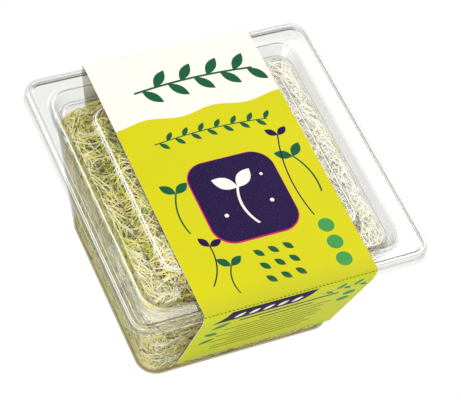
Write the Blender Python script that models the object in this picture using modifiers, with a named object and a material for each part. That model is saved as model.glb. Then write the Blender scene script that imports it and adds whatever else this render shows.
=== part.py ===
"""Punnet of alfalfa sprouts.

A clear tub holds a tangle of sprouts. A clear lid snaps over the tub's rim, and a
folded card sleeve lies over the lid and hangs down the front and the back.
Metres, +Z up, the origin at the middle of the base, the front towards -Y.
"""

import math
import random
from collections import namedtuple

import bmesh
import bpy
from mathutils import Matrix, Vector, noise

MM = 0.001

# Driving dimensions, in millimetres
BASE_HALF = 44.5  # half the tub's width just above its rounded bottom edge
BASE_ROUND = 1.6  # radius of that bottom edge
WALL_SLOPE = 0.161  # how far the wall leans out for each millimetre of height
LEDGE_HEIGHT = 63.8  # the tub's step, below its rim
RIM_TOP = 73.6  # the flat of the lid's flange
RIM_HALF = 65.0  # half the lid's width over its skirt
CORNER = 9.0  # radius of the tub's upright corners
TUB_WALL = 0.6
LID_WALL = 0.5
GAP = 0.3  # between pieces that touch
RECESS_HALF = 56.2  # half the width of the sunk ring's outer edge
PLATEAU_HALF = 43.0  # the lid's raised middle
PLATEAU_RISE = 1.0  # above the flange
CHANNEL_DEPTH = 5.0  # of the lid's sunk ring, below the flange
CARD = 0.4  # thickness of the sleeve
SLEEVE_LEFT = -36.8
SLEEVE_RIGHT = 38.5
FLAP_END_LEFT = -31.2
FLAP_END_RIGHT = 40.2
FLAP_END_HEIGHT = 9.7

# Sprouts, in millimetres
ROOM_GAP = 0.4  # kept between the sprouts and the plastic
CORE_DEPTH = 5.0  # from the outside of the tangle to its solid core
MATTING = 3.0  # how far the core's surface swells and sinks
ROOT_SINK = 3.4  # how far a stem's root goes below the core's mean surface
STEM_DEPTHS = (1.0, 2.8)  # two layers, so that most stems pass over one another
STEM_RADIUS = 0.75
STEM_STEPS = 5
LEAF_LENGTH = 6.2
LEAF_WIDTH = 3.4
LEAF_THICKNESS = 1.0
SEED_LENGTH = 2.6
WALL_STEMS = 56
TOP_STEMS = 29
FLOOR_STEMS = 7
SEED = 9

CORNER_STEPS = 4
SIDE_STEPS = 10
ROOM_FLOOR = TUB_WALL + ROOM_GAP

# A side of the tangle: how its places become points, and the limits of those places
Region = namedtuple("Region", "spot low high")


def clear_scene():
    """Removes whatever the file holds."""
    for item in list(bpy.data.objects):
        bpy.data.objects.remove(item)


def new_collection(name):
    group = bpy.data.collections.new(name)
    bpy.context.scene.collection.children.link(group)
    return group


def new_material(name, colour, roughness, alpha=1.0):
    material = bpy.data.materials.new(name)
    material.use_nodes = True
    shader = material.node_tree.nodes["Principled BSDF"]
    shader.inputs["Base Color"].default_value = (*colour, 1.0)
    shader.inputs["Roughness"].default_value = roughness
    shader.inputs["Metallic"].default_value = 0.0
    shader.inputs["Alpha"].default_value = alpha
    return material


def add_object(name, mesh, group, material):
    item = bpy.data.objects.new(name, mesh)
    group.objects.link(item)
    mesh.materials.append(material)
    return item


def rounded_square(half, radius, height):
    """The points of a level square with round corners, anticlockwise from above."""
    points = []
    for quarter in range(4):
        middle = Vector((half - radius, half - radius))
        for step in range(CORNER_STEPS + 1):
            angle = math.radians(90.0 * step / CORNER_STEPS)
            spot = middle + radius * Vector((math.cos(angle), math.sin(angle)))
            for _ in range(quarter):
                spot = Vector((-spot.y, spot.x))
            points.append(Vector((spot.x, spot.y, height)) * MM)
    return points


def loft(name, rings, first_cap, last_cap):
    """A mesh through rings of equal count, listed so that its faces point outwards."""
    shape = bmesh.new()
    rows = [[shape.verts.new(point) for point in ring] for ring in rings]
    count = len(rows[0])
    for lower, upper in zip(rows, rows[1:]):
        for index in range(count):
            after = (index + 1) % count
            shape.faces.new((lower[index], lower[after], upper[after], upper[index]))
    if first_cap:
        shape.faces.new(reversed(rows[0]))
    if last_cap:
        shape.faces.new(rows[-1])
    mesh = bpy.data.meshes.new(name)
    shape.to_mesh(mesh)
    shape.free()
    return mesh


def thicken(item, thickness, offset):
    wall = item.modifiers.new("Wall", "SOLIDIFY")
    wall.thickness = thickness * MM
    wall.offset = offset
    wall.use_even_offset = True


def wall_half(height):
    """Half the tub's outer width at a height on its sloping wall."""
    return BASE_HALF + (height - BASE_ROUND) * WALL_SLOPE


def make_tub(group, material):
    """The tub: flat base, sloping walls, a step and a turned-down rim."""
    profile = []
    for degrees in (0, 30, 60, 90):
        angle = math.radians(degrees)
        half = BASE_HALF - BASE_ROUND * (1.0 - math.sin(angle))
        profile.append((half, half - BASE_HALF + CORNER, BASE_ROUND * (1.0 - math.cos(angle))))
    ledge_half = wall_half(LEDGE_HEIGHT)
    flange = RIM_TOP - LID_WALL - GAP - TUB_WALL
    lip_half = RIM_HALF - LID_WALL - TUB_WALL - 0.9
    profile += [
        (ledge_half, CORNER, LEDGE_HEIGHT),
        (ledge_half + 1.5, CORNER + 0.6, LEDGE_HEIGHT + 0.8),
        (ledge_half + 2.9, CORNER + 1.0, flange - 0.7),
        (ledge_half + 3.7, CORNER + 1.4, flange),
        (lip_half - 0.5, CORNER - 3.2, flange),
        (lip_half, CORNER - 2.8, flange - 0.5),
        (lip_half, CORNER - 2.8, flange - 1.7),
    ]
    rings = [rounded_square(*level) for level in profile]
    tub = add_object("tub", loft("tub", rings, True, False), group, material)
    thicken(tub, TUB_WALL, -1.0)
    return tub


def make_lid(group, material):
    """The lid: raised middle, sunk ring, flat flange, round bead and skirt."""
    channel = RIM_TOP - CHANNEL_DEPTH
    profile = [
        (PLATEAU_HALF - 0.9, 6.1, RIM_TOP + PLATEAU_RISE),
        (PLATEAU_HALF, 7.0, RIM_TOP + PLATEAU_RISE - 0.6),
        (PLATEAU_HALF + 1.8, 8.8, channel + 0.6),
        (PLATEAU_HALF + 2.6, 9.6, channel),
        (RECESS_HALF - 4.4, 5.6, channel),
        (RECESS_HALF - 3.5, 6.5, channel + 0.6),
        (RECESS_HALF - 0.8, 8.2, RIM_TOP - 0.6),
        (RECESS_HALF, 9.0, RIM_TOP),
        (RIM_HALF - 3.2, 4.4, RIM_TOP),
        (RIM_HALF - 2.7, 4.9, RIM_TOP + 0.7),
        (RIM_HALF - 2.1, 5.5, RIM_TOP + 1.0),
        (RIM_HALF - 1.1, 6.5, RIM_TOP + 1.0),
        (RIM_HALF - 0.5, 7.1, RIM_TOP + 0.7),
        (RIM_HALF - 0.2, 7.4, RIM_TOP),
        (RIM_HALF - 0.2, 7.4, RIM_TOP - 3.4),
        (RIM_HALF + 0.1, 7.7, RIM_TOP - 4.0),
    ]
    rings = [rounded_square(*level) for level in reversed(profile)]
    lid = add_object("lid", loft("lid", rings, False, True), group, material)
    thicken(lid, LID_WALL, -1.0)
    return lid


def sleeve_path():
    """The sleeve's middle line from the top of the lid to the end of one flap, as
    pairs of distance from the middle and height."""
    top = RIM_TOP + PLATEAU_RISE + GAP + CARD / 2
    outside = RIM_HALF + 0.8
    fold = 0.9
    path = [(0.0, top)]
    for degrees in (0, 30, 60, 90):
        angle = math.radians(degrees)
        path.append((outside - fold + fold * math.sin(angle), top - fold + fold * math.cos(angle)))
    end = wall_half(FLAP_END_HEIGHT) + GAP + CARD
    path += [(outside - 0.1, RIM_TOP - 3.4), (outside - 0.8, RIM_TOP - 6.4), (end, FLAP_END_HEIGHT)]
    return path


def make_sleeve(group, material):
    """The sleeve: one strip of card folded down over the front and back rims."""
    half_path = sleeve_path()
    stations = [(-away, height) for away, height in reversed(half_path)] + half_path[1:]
    fold_height = RIM_TOP - 3.4
    shape = bmesh.new()
    rows = []
    for away, height in stations:
        down = max(0.0, (fold_height - height) / (fold_height - FLAP_END_HEIGHT))
        left = SLEEVE_LEFT + (FLAP_END_LEFT - SLEEVE_LEFT) * down
        right = SLEEVE_RIGHT + (FLAP_END_RIGHT - SLEEVE_RIGHT) * down
        ends = (Vector((left, away, height)), Vector((right, away, height)))
        rows.append([shape.verts.new(end * MM) for end in ends])
    for lower, upper in zip(rows, rows[1:]):
        shape.faces.new((lower[0], lower[1], upper[1], upper[0]))
    mesh = bpy.data.meshes.new("sleeve")
    shape.to_mesh(mesh)
    shape.free()
    sleeve = add_object("sleeve", mesh, group, material)
    thicken(sleeve, CARD, 0.0)
    return sleeve


def room_half(height):
    """Half the room for sprouts inside the tub at a height."""
    return wall_half(height) - TUB_WALL - ROOM_GAP


def room_top(x, y):
    """Height of the room under the lid: it rises under the lid's raised middle."""
    low = RIM_TOP - CHANNEL_DEPTH - LID_WALL - ROOM_GAP
    high = RIM_TOP + PLATEAU_RISE - LID_WALL - ROOM_GAP
    away = max(abs(x), abs(y))
    share = min(1.0, max(0.0, (PLATEAU_HALF - away) / 3.0))
    return low + (high - low) * share


def on_wall(turn, height, depth):
    """A point below the tangle's side: turn counts sides from the +X one, 0 to 4."""
    half = room_half(height) - depth
    radius = max(1.0, CORNER - depth)
    straight = 2.0 * (half - radius)
    arc = radius * math.pi / 4
    side = math.floor(turn)
    along = (turn - side) * (straight + 2 * arc)
    corner = half - radius
    if along < arc:
        angle = along / radius - math.pi / 4
        spot = Vector((corner + radius * math.cos(angle), -corner + radius * math.sin(angle)))
    elif along < arc + straight:
        spot = Vector((half, along - arc - corner))
    else:
        angle = (along - arc - straight) / radius
        spot = Vector((corner + radius * math.cos(angle), corner + radius * math.sin(angle)))
    for _ in range(side % 4):
        spot = Vector((-spot.y, spot.x))
    return Vector((spot.x, spot.y, height))


def wall_spot(place, depth):
    """A point by its distance round the wall from the middle of the +X side, and height."""
    side_length = 2.0 * room_half(place.y) - 5.0
    return on_wall((place.x / side_length + 0.5) % 4.0, place.y, depth)


def top_spot(place, depth):
    """A point under the lid by its x and y."""
    return Vector((place.x, place.y, room_top(place.x, place.y) - depth))


def floor_spot(place, depth):
    """A point above the tub's base by its x and y."""
    return Vector((place.x, place.y, ROOM_FLOOR + depth))


def inside(place, region):
    low, high = region.low, region.high
    return low.x < place.x < high.x and low.y < place.y < high.y


def stem_route(draw, region, start):
    """The places and headings along a curling stem. A route that would leave its region
    is drawn again."""
    for _ in range(60):
        length = draw.uniform(26.0, 38.0)
        heading = draw.uniform(-math.pi, math.pi)
        bend = draw.uniform(-0.25, 0.25)
        swing = draw.uniform(-0.4, 0.4)
        place = start.copy()
        route = [(place, heading)]
        for step in range(STEM_STEPS):
            heading += bend + swing * math.sin(step * 1.6)
            size = length / STEM_STEPS * (0.6 if step == 0 else 1.0)
            place = place + Vector((math.cos(heading), math.sin(heading))) * size
            route.append((place, heading))
        ahead = Vector((math.cos(heading), math.sin(heading)))
        if all(inside(spot, region) for spot, _ in route) and inside(place + ahead * LEAF_LENGTH, region):
            break
    return route


def ring_round(half, radius, height):
    """A level ring of the core, with as many points along its sides as at its corners."""
    corners = rounded_square(half, radius, height)
    points = []
    for index, point in enumerate(corners):
        points.append(point)
        if index % (CORNER_STEPS + 1) == CORNER_STEPS:
            after = corners[(index + 1) % len(corners)]
            points += [point.lerp(after, step / SIDE_STEPS) for step in range(1, SIDE_STEPS)]
    return points


def make_core():
    """The tangle's matted core: uneven all over, and smaller than the room."""
    low = ROOM_FLOOR + CORE_DEPTH
    high = room_top(RIM_HALF, 0) - CORE_DEPTH
    peak = room_top(0, 0) - CORE_DEPTH
    levels = [(20.0, 5.0, low), (room_half(low) - CORE_DEPTH - 3.0, 5.0, low)]
    rows = 9
    for row in range(rows):
        height = low + 2.5 + (high - low - 5.0) * row / (rows - 1)
        levels.append((room_half(height) - CORE_DEPTH, CORNER - 2.0, height))
    levels += [
        (room_half(high) - CORE_DEPTH - 2.5, 6.5, high),
        (PLATEAU_HALF - 1.5, 6.0, high),
        (PLATEAU_HALF - 5.5, 5.0, peak),
        (26.0, 5.0, peak),
        (13.0, 5.0, peak),
    ]
    rings = [ring_round(*level) for level in levels]
    middle = Vector((0.0, 0.0, (low + high) / 2)) * MM
    for ring in rings:
        for point in ring:
            sway = noise.noise(point * 150.0) + 0.6 * noise.noise(point * 320.0)
            point += (point - middle).normalized() * sway * MATTING * MM
    return loft("core", rings, True, True)


def stem_frame(region, place, ahead, depth):
    """The middle, the outward and the sideways directions of a stem at a place."""
    middle = region.spot(place, depth)
    outward = (region.spot(place, depth - 1.0) - middle).normalized()
    along = region.spot(place + ahead * 0.5, depth) - region.spot(place - ahead * 0.5, depth)
    return middle, outward, along.cross(outward).normalized()


def add_leaf(shape, region, stem_end, place, heading, side, depth, length):
    """A seed leaf, flat along the tangle's outside, grown from one half of a stem's end."""
    top, foot, edge = stem_end
    ahead = Vector((math.cos(heading), math.sin(heading)))
    across = Vector((ahead.y, -ahead.x)) * side
    belly = place + ahead * length * 0.5

    def corner(spot, lift):
        return shape.verts.new(region.spot(spot, depth - lift) * MM)

    high = corner(belly, LEAF_THICKNESS / 2)
    low = corner(belly, -LEAF_THICKNESS / 2)
    outer = corner(belly + across * LEAF_WIDTH / 2, 0.0)
    inner = corner(belly - across * LEAF_WIDTH / 2, 0.0)
    tip = corner(place + ahead * length, 0.0)
    for face in (
        (top, high, outer, edge),
        (edge, outer, low, foot),
        (top, inner, high),
        (foot, low, inner),
        (top, foot, inner),
        (high, tip, outer),
        (outer, tip, low),
        (low, tip, inner),
        (inner, tip, high),
    ):
        shape.faces.new(face)


def sprout_mesh(draw, region, start):
    """One sprout: a four-sided curling stem that leaves the core, runs along the outside
    of the tangle and ends in its pair of seed leaves."""
    depth = draw.choice(STEM_DEPTHS) + draw.uniform(-0.15, 0.15)
    route = stem_route(draw, region, start)
    shape = bmesh.new()
    rings = []
    for step, (place, heading) in enumerate(route):
        ahead = Vector((math.cos(heading), math.sin(heading)))
        sunk = CORE_DEPTH + ROOT_SINK if step == 0 else depth
        middle, outward, side = stem_frame(region, place, ahead, sunk)
        spokes = (outward, side, -outward, -side)
        rings.append([shape.verts.new((middle + spoke * STEM_RADIUS) * MM) for spoke in spokes])
    for lower, upper in zip(rings, rings[1:]):
        for index in range(4):
            after = (index + 1) % 4
            shape.faces.new((lower[index], lower[after], upper[after], upper[index]))
    shape.faces.new(rings[0])
    top, right, foot, left = rings[-1]
    place, heading = route[-1]
    spread = draw.uniform(0.68, 1.0)
    for side, edge in ((1, right), (-1, left)):
        size = LEAF_LENGTH * draw.uniform(0.88, 1.1)
        add_leaf(shape, region, (top, foot, edge), place, heading - side * spread, side, depth, size)
    shape.normal_update()
    bmesh.ops.recalc_face_normals(shape, faces=shape.faces)
    mesh = bpy.data.meshes.new("sprout")
    shape.to_mesh(mesh)
    shape.free()
    return mesh


def seed_mesh(draw, region, place):
    """An empty seed coat lying in the tangle: a small eight-faced grain."""
    shape = bmesh.new()
    bmesh.ops.create_uvsphere(shape, u_segments=4, v_segments=2, radius=SEED_LENGTH / 2)
    turn = Matrix.Rotation(draw.uniform(0, math.pi), 3, "Z")
    middle = region.spot(place, CORE_DEPTH - 0.2)
    for vert in shape.verts:
        vert.co = (middle + turn @ vert.co) * MM
    mesh = bpy.data.meshes.new("seed")
    shape.to_mesh(mesh)
    shape.free()
    return mesh


def scattered(count, region):
    """Evenly spread starting places in a region."""
    golden = 0.61803
    size = region.high - region.low
    for index in range(count):
        share = Vector(((index + 0.5) / count, (index * golden + 0.5) % 1.0))
        yield region.low + Vector((size.x * share.x, size.y * share.y))


def sprout_meshes():
    """All the sprouts that stand out of the core, spread evenly by a seeded draw."""
    draw = random.Random(SEED)
    around = 8.0 * room_half(35.0)
    ceiling = RIM_TOP - CHANNEL_DEPTH - 2.5
    top = room_half(ceiling) - 3.5
    floor = BASE_HALF - 6.0
    sides = (
        (WALL_STEMS, Region(wall_spot, Vector((0.0, ROOM_FLOOR + 3.0)), Vector((around, ceiling)))),
        (TOP_STEMS, Region(top_spot, Vector((-top, -top)), Vector((top, top)))),
        (FLOOR_STEMS, Region(floor_spot, Vector((-floor, -floor)), Vector((floor, floor)))),
    )
    meshes = []
    for count, region in sides:
        for place in scattered(count, region):
            meshes.append(sprout_mesh(draw, region, place))
        for place in scattered(count // 6, region):
            meshes.append(seed_mesh(draw, region, place))
    return meshes


def keep_largest(item):
    """Keeps the one outer skin: scraps and sealed hollows that the union left go."""
    shape = bmesh.new()
    shape.from_mesh(item.data)
    left = set(shape.faces)
    islands = []
    while left:
        island = {left.pop()}
        open_faces = list(island)
        while open_faces:
            face = open_faces.pop()
            for edge in face.edges:
                for other in edge.link_faces:
                    if other in left:
                        left.remove(other)
                        island.add(other)
                        open_faces.append(other)
        islands.append(island)
    islands.sort(key=len)
    loose = [face for island in islands[:-1] for face in island]
    bmesh.ops.delete(shape, geom=loose, context="FACES")
    shape.to_mesh(item.data)
    shape.free()


def make_sprouts(group, material):
    """The tangle of sprouts: stems, seed leaves and seed coats fused to their core."""
    sprouts = add_object("sprouts", make_core(), group, material)
    repeats = new_collection("sprout repeats")
    for mesh in sprout_meshes():
        piece = bpy.data.objects.new("repeat", mesh)
        repeats.objects.link(piece)
    fuse = sprouts.modifiers.new("Fuse", "BOOLEAN")
    fuse.operation = "UNION"
    fuse.operand_type = "COLLECTION"
    fuse.collection = repeats
    fuse.solver = "MANIFOLD"
    graph = bpy.context.evaluated_depsgraph_get()
    fused = bpy.data.meshes.new_from_object(sprouts.evaluated_get(graph))
    sprouts.modifiers.clear()
    sprouts.data = fused
    for piece in list(repeats.objects):
        bpy.data.objects.remove(piece)
    bpy.data.collections.remove(repeats)
    keep_largest(sprouts)
    return sprouts


def main():
    clear_scene()
    group = new_collection("sprout_punnet")
    clear = new_material("clear_plastic", (0.93, 0.95, 0.93), 0.08, 0.3)
    make_tub(group, clear)
    make_lid(group, clear)
    make_sleeve(group, new_material("printed_card", (0.73, 0.75, 0.03), 0.45))
    make_sprouts(group, new_material("sprouts", (0.62, 0.65, 0.28), 0.55))


main()
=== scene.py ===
"""Looks of a closed clear punnet of alfalfa sprouts with a folded printed card sleeve.

Sizes are in millimetres, in the frame's axes: +Z up, the sleeve's front flap towards -Y.
The floor, the lamps and the camera are placed in metres.
"""

import math
import random
from collections import namedtuple

import bmesh
import bpy
import numpy as np
from mathutils import Euler, Matrix, Vector, noise


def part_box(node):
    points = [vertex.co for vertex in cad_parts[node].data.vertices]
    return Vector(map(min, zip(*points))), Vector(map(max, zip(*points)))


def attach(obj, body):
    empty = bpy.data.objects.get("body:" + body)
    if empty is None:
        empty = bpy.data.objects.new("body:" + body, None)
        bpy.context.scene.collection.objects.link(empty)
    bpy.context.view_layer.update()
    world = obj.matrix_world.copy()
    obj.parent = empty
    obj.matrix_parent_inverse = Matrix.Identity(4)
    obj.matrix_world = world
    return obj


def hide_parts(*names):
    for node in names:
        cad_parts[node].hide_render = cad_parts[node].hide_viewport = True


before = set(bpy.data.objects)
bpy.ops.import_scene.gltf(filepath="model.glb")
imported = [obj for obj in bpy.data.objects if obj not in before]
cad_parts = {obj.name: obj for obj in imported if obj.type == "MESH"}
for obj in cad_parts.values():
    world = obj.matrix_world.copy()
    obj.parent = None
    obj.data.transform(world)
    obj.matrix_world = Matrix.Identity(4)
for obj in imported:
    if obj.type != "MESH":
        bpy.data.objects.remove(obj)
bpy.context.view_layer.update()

MM = 0.001
BODY = "root"

# The frame's driving sizes, in millimetres
LID_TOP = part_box("lid")[1].z / MM
RIM_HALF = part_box("lid")[1].x / MM - 0.1
CARD_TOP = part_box("sleeve")[1].z / MM
FLAP_END_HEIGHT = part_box("sleeve")[0].z / MM
SLEEVE_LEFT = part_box("sleeve")[0].x / MM
FLAP_END_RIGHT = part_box("sleeve")[1].x / MM
RIM_TOP = LID_TOP - 1.0
TUB_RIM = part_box("tub")[1].z / MM
BASE_HALF = 44.5
BASE_ROUND = 1.6
WALL_SLOPE = 0.161
LEDGE_HEIGHT = 63.8
CORNER = 9.0
TUB_WALL = 0.6
LID_WALL = 0.5
GAP = 0.3
RECESS_HALF = 56.2
PLATEAU_HALF = 43.0
CHANNEL_DEPTH = 5.0
CARD = 0.4
FLAP_END_LEFT = -31.2
SLEEVE_RIGHT = 38.5
SKIRT_END = RIM_TOP - 3.4

# The unfolded card: where its front fold lies along it, where the painted shade before the fold
# starts, how far apart the fold's cuts are, and the millimetres to a UV unit
FRONT_FOLD = -66.4
SHADE_FROM = -57.0
CUT_PITCH = 1.7
UV_UNIT = 100.0

# Heights between which the clear sheet is tinted its foot's colour, a painted shade
FOOT_SHADE_TOP = 3.5
FOOT_SHADE_FULL = 1.0

# Fineness of the shells and of the card
CORNER_STEPS = 10
SIDE_STEPS = 8
SOFT_STEPS = 5
CARD_TOP_STEPS = 12
FLAP_STEPS = 10
CARD_COLUMNS = 12
CORE_ROWS = 16

# The room for the tangle, and its paler right-hand end: whiter stems, partly a painted light
ROOM_GAP = 0.12
ROOM_FLOOR = TUB_WALL + ROOM_GAP
CEILING = RIM_TOP - CHANNEL_DEPTH - 2.0
CORE_DEPTH = 6.5
PALE_FROM = 35.0
PALE_TO = 41.0
PALE_ABOVE = 56.0
# The walls' sprouts grow on one long strip: a side's length on it, how often it goes round
# the tub, and how high the strip by the base's edges reaches
SIDE_LENGTH = 94.0
ROUNDS = 20
EDGE_TOP = 8.0
# Hollows where the tangle has sagged: their middle, reach and depth
HOLLOWS = (
    (Vector((-56.0, 58.0, 70.0)), 26.0, 9.0),
    (Vector((-36.0, 33.0, 74.0)), 15.0, 4.0),
)

# One sprout, its seed leaves and its seed coat
STEM_STEPS = 8
STEM_RADIUS = 0.38
STEM_LENGTHS = (15.0, 34.0)
STEM_SIZES = (0.7, 1.2)
SHALLOWEST = 0.45
DEPTH_RANGE = 5.2
LEAST_DEPTH = 0.47
LEAF_LENGTH = 5.0
LEAF_WIDTH = 2.1
LEAF_SIZES = (0.6, 1.05)
LEAF_SINK = 0.3
SEED_LENGTH = 2.3

# How many sprouts grow in each part of the tangle, and how many of them show leaves
WALL_SPROUTS = 5200
EDGE_SPROUTS = 620
TOP_SPROUTS = 2700
FLOOR_SPROUTS = 450
CARD_SPROUTS = 70
LEAFY_SHARE = 0.26

# How often each kind of stem is picked near the outside; deep in the tangle, where darker kinds
# are a painted shade; at its front, where paler kinds are a painted light; at its paler right-hand
# end; and under the flap, where darker kinds are a painted shade: cream, yellow, green, white, olive,
# brown
NEAR_KINDS = (7.0, 4.5, 2.2, 1.0, 0.3, 0.4)
DEEP_SHADE_KINDS = (3.0, 4.0, 2.4, 0.4, 1.0, 0.8)
FRONT_LIGHT_KINDS = (8.0, 5.5, 0.3, 4.5, 0.1, 0.4)
WHITE_KINDS = (0.9, 0.1, 0.15, 10.0, 0.05, 0.05)
SHADE_KINDS = (1.0, 1.2, 1.2, 0.1, 5.0, 3.5)
# How strongly each kind gathers in the clumps of the tangle, which are green and also darker, a painted
# shade
CLUMP_LEAN = (-2.5, 0.5, 5.0, -3.0, 6.0, 5.0)

# The camera of the photo: azimuth, elevation and roll in degrees, aim and distance in
# metres, and its lens and sensor in millimetres
CAMERA_ANGLES = (-34.874, 51.867, 14.411)
CAMERA_AIM = (0.009388, 0.003320, 0.043352)
CAMERA_DISTANCE = 0.82637
CAMERA_LENS = 152.97
CAMERA_SENSOR = 36.0

Region = namedtuple("Region", "spot low high")
Sprout = namedtuple("Sprout", "points sizes kind outward depth")
Level = namedtuple("Level", "half radius height side_bend end_bend")


class Graph:
    """Adds and joins the nodes of one material or node group."""

    def __init__(self, tree):
        self.tree = tree

    def node(self, kind, inputs=(), **settings):
        node = self.tree.nodes.new(kind)
        for name, value in settings.items():
            setattr(node, name, value)
        for key, value in dict(inputs).items():
            self.put(node.inputs[key], value)
        return node

    def put(self, socket, value):
        if isinstance(value, bpy.types.NodeSocket):
            self.tree.links.new(value, socket)
        else:
            socket.default_value = value

    def math(self, operation, first, second=0.0):
        node = self.node("ShaderNodeMath", {0: first, 1: second}, operation=operation)
        return node.outputs[0]

    def vector(self, operation, first, second=(0.0, 0.0, 0.0)):
        node = self.node("ShaderNodeVectorMath", {0: first, 1: second}, operation=operation)
        return node.outputs["Value" if operation == "LENGTH" else "Vector"]

    def blend(self, share, low, high):
        node = self.node("ShaderNodeMix", {0: share, 6: low, 7: high}, data_type="RGBA")
        return node.outputs[2]

    def spread(self, value, low, high, start=0.0, end=1.0):
        inputs = {"Value": value, "From Min": low, "From Max": high, "To Min": start, "To Max": end}
        return self.node("ShaderNodeMapRange", inputs).outputs["Result"]

    def grain(self, place, size, detail=2.0, rough=0.5):
        """Noise with features of a size in millimetres."""
        inputs = {"Vector": place, "Scale": 1.0 / (size * MM), "Detail": detail, "Roughness": rough}
        return self.node("ShaderNodeTexNoise", inputs).outputs["Fac"]

    def bump(self, height, depth, strength):
        inputs = {"Height": height, "Distance": depth * MM, "Strength": strength}
        return self.node("ShaderNodeBump", inputs).outputs["Normal"]

    def here(self):
        return self.node("ShaderNodeTexCoord").outputs["Object"]

    def axes(self, vector):
        return self.node("ShaderNodeSeparateXYZ", {0: vector}).outputs

    def lay_over(self, share, below, above):
        """One shader over another."""
        return self.node("ShaderNodeMixShader", {0: share, 1: below, 2: above}).outputs[0]

    def for_camera(self, others, camera):
        """A shader that the camera sees in place of the one that lights the object."""
        seen = self.node("ShaderNodeLightPath").outputs["Is Camera Ray"]
        return self.lay_over(seen, others, camera)

    def fibre(self, place, mottle, fine):
        """The shared uneven finish: a share that wanders between two colours, and the
        height of a fine relief, both with features of a size in millimetres."""
        node = self.node("ShaderNodeGroup", node_tree=fibre_group())
        self.put(node.inputs["Place"], place)
        self.put(node.inputs["Mottle"], 1.0 / (mottle * MM))
        self.put(node.inputs["Fine"], 1.0 / (fine * MM))
        return node.outputs["Share"], node.outputs["Relief"]


def fibre_group():
    """The node group of the uneven finish, made once for all the materials that use it."""
    if "fibre" in bpy.data.node_groups:
        return bpy.data.node_groups["fibre"]
    tree = bpy.data.node_groups.new("fibre", "ShaderNodeTree")
    tree.interface.new_socket("Place", in_out="INPUT", socket_type="NodeSocketVector")
    tree.interface.new_socket("Mottle", in_out="INPUT", socket_type="NodeSocketFloat")
    tree.interface.new_socket("Fine", in_out="INPUT", socket_type="NodeSocketFloat")
    tree.interface.new_socket("Share", in_out="OUTPUT", socket_type="NodeSocketFloat")
    tree.interface.new_socket("Relief", in_out="OUTPUT", socket_type="NodeSocketFloat")
    graph = Graph(tree)
    given = graph.node("NodeGroupInput").outputs
    clouds = {"Vector": given["Place"], "Scale": given["Mottle"], "Detail": 3.0}
    share = graph.spread(graph.node("ShaderNodeTexNoise", clouds).outputs["Fac"], 0.3, 0.7)
    ridges = {"Vector": given["Place"], "Scale": given["Fine"], "Detail": 2.0}
    relief = graph.node("ShaderNodeTexNoise", ridges).outputs["Fac"]
    graph.node("NodeGroupOutput", {"Share": share, "Relief": relief})
    return tree


def new_material(name):
    material = bpy.data.materials.new(name)
    material.use_nodes = True
    material.node_tree.nodes.clear()
    return material, Graph(material.node_tree)


def finish_material(graph, shader):
    graph.node("ShaderNodeOutputMaterial", {"Surface": shader})


def finish_solid(graph, tint, roughness, normal, specular=0.5):
    """Ends a material in an opaque finish."""
    inputs = {
        "Base Color": tint,
        "Roughness": roughness,
        "Specular IOR Level": specular,
        "Normal": normal,
    }
    finish_material(graph, graph.node("ShaderNodeBsdfPrincipled", inputs).outputs[0])


def colour(red, green, blue):
    return (red, green, blue, 1.0)


WHITE = colour(1.0, 1.0, 1.0)


def clear_plastic(name, haze, tone, foot):
    """Thin clear sheet: it lets light through and has a faint haze. Where it is seen edge on it
    greys, a painted reflection; along its bends white lines are painted as highlights and dark
    lines as shade; and the round edge at its foot takes on the colour of what lies behind it, a painted
    shade."""
    material, graph = new_material(name)
    place = graph.here()
    waves = graph.grain(place, 16.0, 1.0)
    ripple = graph.grain(place, 4.0, 2.0)
    height = graph.math("ADD", waves, graph.math("MULTIPLY", ripple, 0.12))
    normal = graph.bump(height, 0.15, 0.3)
    # Painted reflection: the sheet is tinted grey where it is seen edge on, for the darker room it would
    # reflect there.
    edge = graph.node("ShaderNodeLayerWeight", {"Blend": 0.42}).outputs["Facing"]
    edge = graph.math("POWER", edge, 2.5)
    tint = graph.blend(edge, colour(*tone), colour(0.6, 0.6, 0.59))
    # Painted light: the bend attribute paints white lines (painted highlights, above 0) and dark lines
    # (painted shade, below 0) along the sheet's bends.
    bend = graph.node("ShaderNodeAttribute", attribute_name="bend").outputs["Fac"]
    dark = graph.math("MAXIMUM", graph.math("MULTIPLY", bend, -1.0), 0.0)
    tint = graph.blend(dark, tint, colour(0.3, 0.3, 0.28))
    # Painted shade: low down the sheet takes its foot's colour, the olive brown of the shaded tangle
    # behind the tub's foot.
    foot_shade = graph.spread(graph.axes(place)[2], FOOT_SHADE_TOP * MM, FOOT_SHADE_FULL * MM)
    tint = graph.blend(foot_shade, tint, colour(*foot))
    clear = graph.node("ShaderNodeBsdfTransparent", {"Color": tint}).outputs[0]
    # The haze is a faint milkiness of the sheet; along the bends it is raised into the painted
    # highlights.
    haze_and_highlight = graph.spread(graph.grain(place, 9.0, 4.0, 0.6), 0.35, 0.75, haze * 0.4, haze * 1.6)
    haze_and_highlight = graph.math("MAXIMUM", haze_and_highlight, bend)
    outside = graph.math("SUBTRACT", 1.0, graph.node("ShaderNodeNewGeometry").outputs["Backfacing"])
    milk = graph.node("ShaderNodeBsdfDiffuse", {"Color": colour(0.97, 0.97, 0.95)}).outputs[0]
    body = graph.lay_over(graph.math("MULTIPLY", haze_and_highlight, outside), clear, milk)
    inputs = {"Color": WHITE, "Roughness": 0.04, "Normal": normal}
    shine = graph.node("ShaderNodeBsdfGlossy", inputs).outputs[0]
    mirror = graph.node("ShaderNodeFresnel", {"IOR": 1.46, "Normal": normal}).outputs[0]
    mirror = graph.math("MINIMUM", mirror, 0.1)
    finish_material(graph, graph.lay_over(graph.math("MULTIPLY", mirror, outside), body, shine))
    return material


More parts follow.
